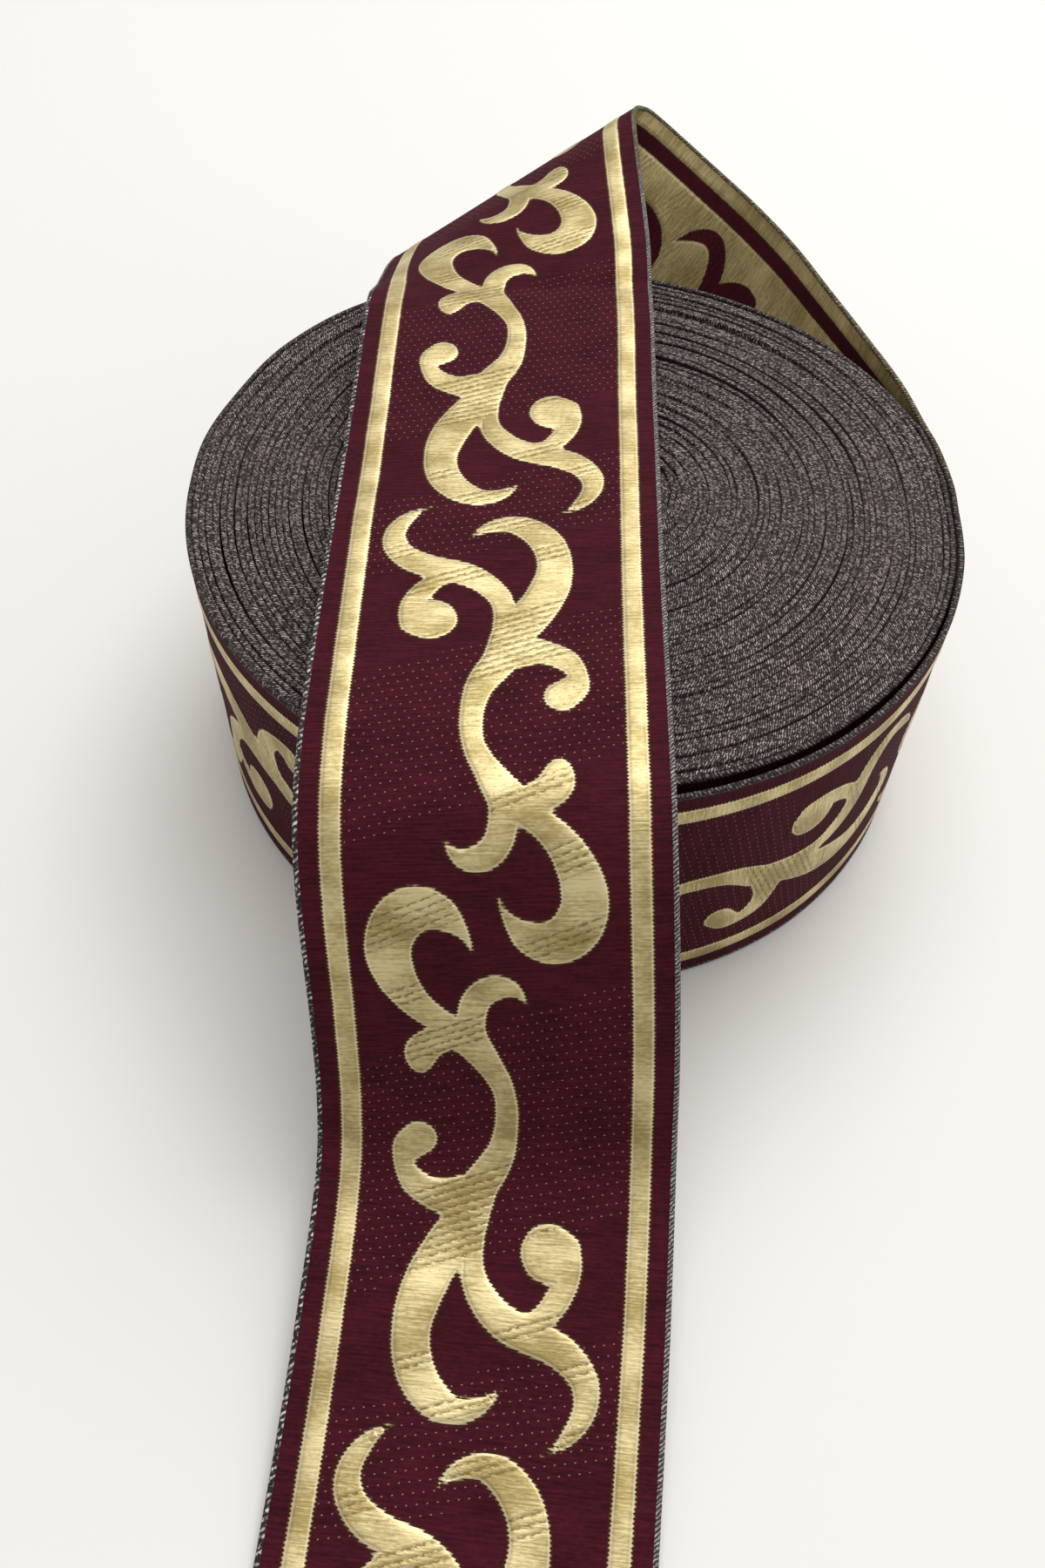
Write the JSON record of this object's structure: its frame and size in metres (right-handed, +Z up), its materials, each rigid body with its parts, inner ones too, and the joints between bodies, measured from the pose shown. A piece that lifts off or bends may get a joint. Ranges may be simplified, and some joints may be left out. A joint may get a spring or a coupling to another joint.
{
  "type": "roll of woven ribbon",
  "caption": "Flat-lying roll of patterned woven ribbon; its loose end is turned over behind the roll and drawn across the top and down onto the table.",
  "frame": {"origin": "middle of the roll's underside, on the table", "axes": "+Z up along the axis of the roll; -Y the way the loose end runs out along the table; +X to its right as seen from the cut end"},
  "size_m": [0.1223, 0.2766, 0.0652],
  "materials": {
    "wound_ribbon_edges": "matte, close selvedge edges seen end on",
    "ribbon_cloth": "woven, satin figure on a ribbed ground"
  },
  "bodies": {
    "root": {"roll": "wound_ribbon_edges", "loose_end": "ribbon_cloth"}
  },
  "joints": []
}
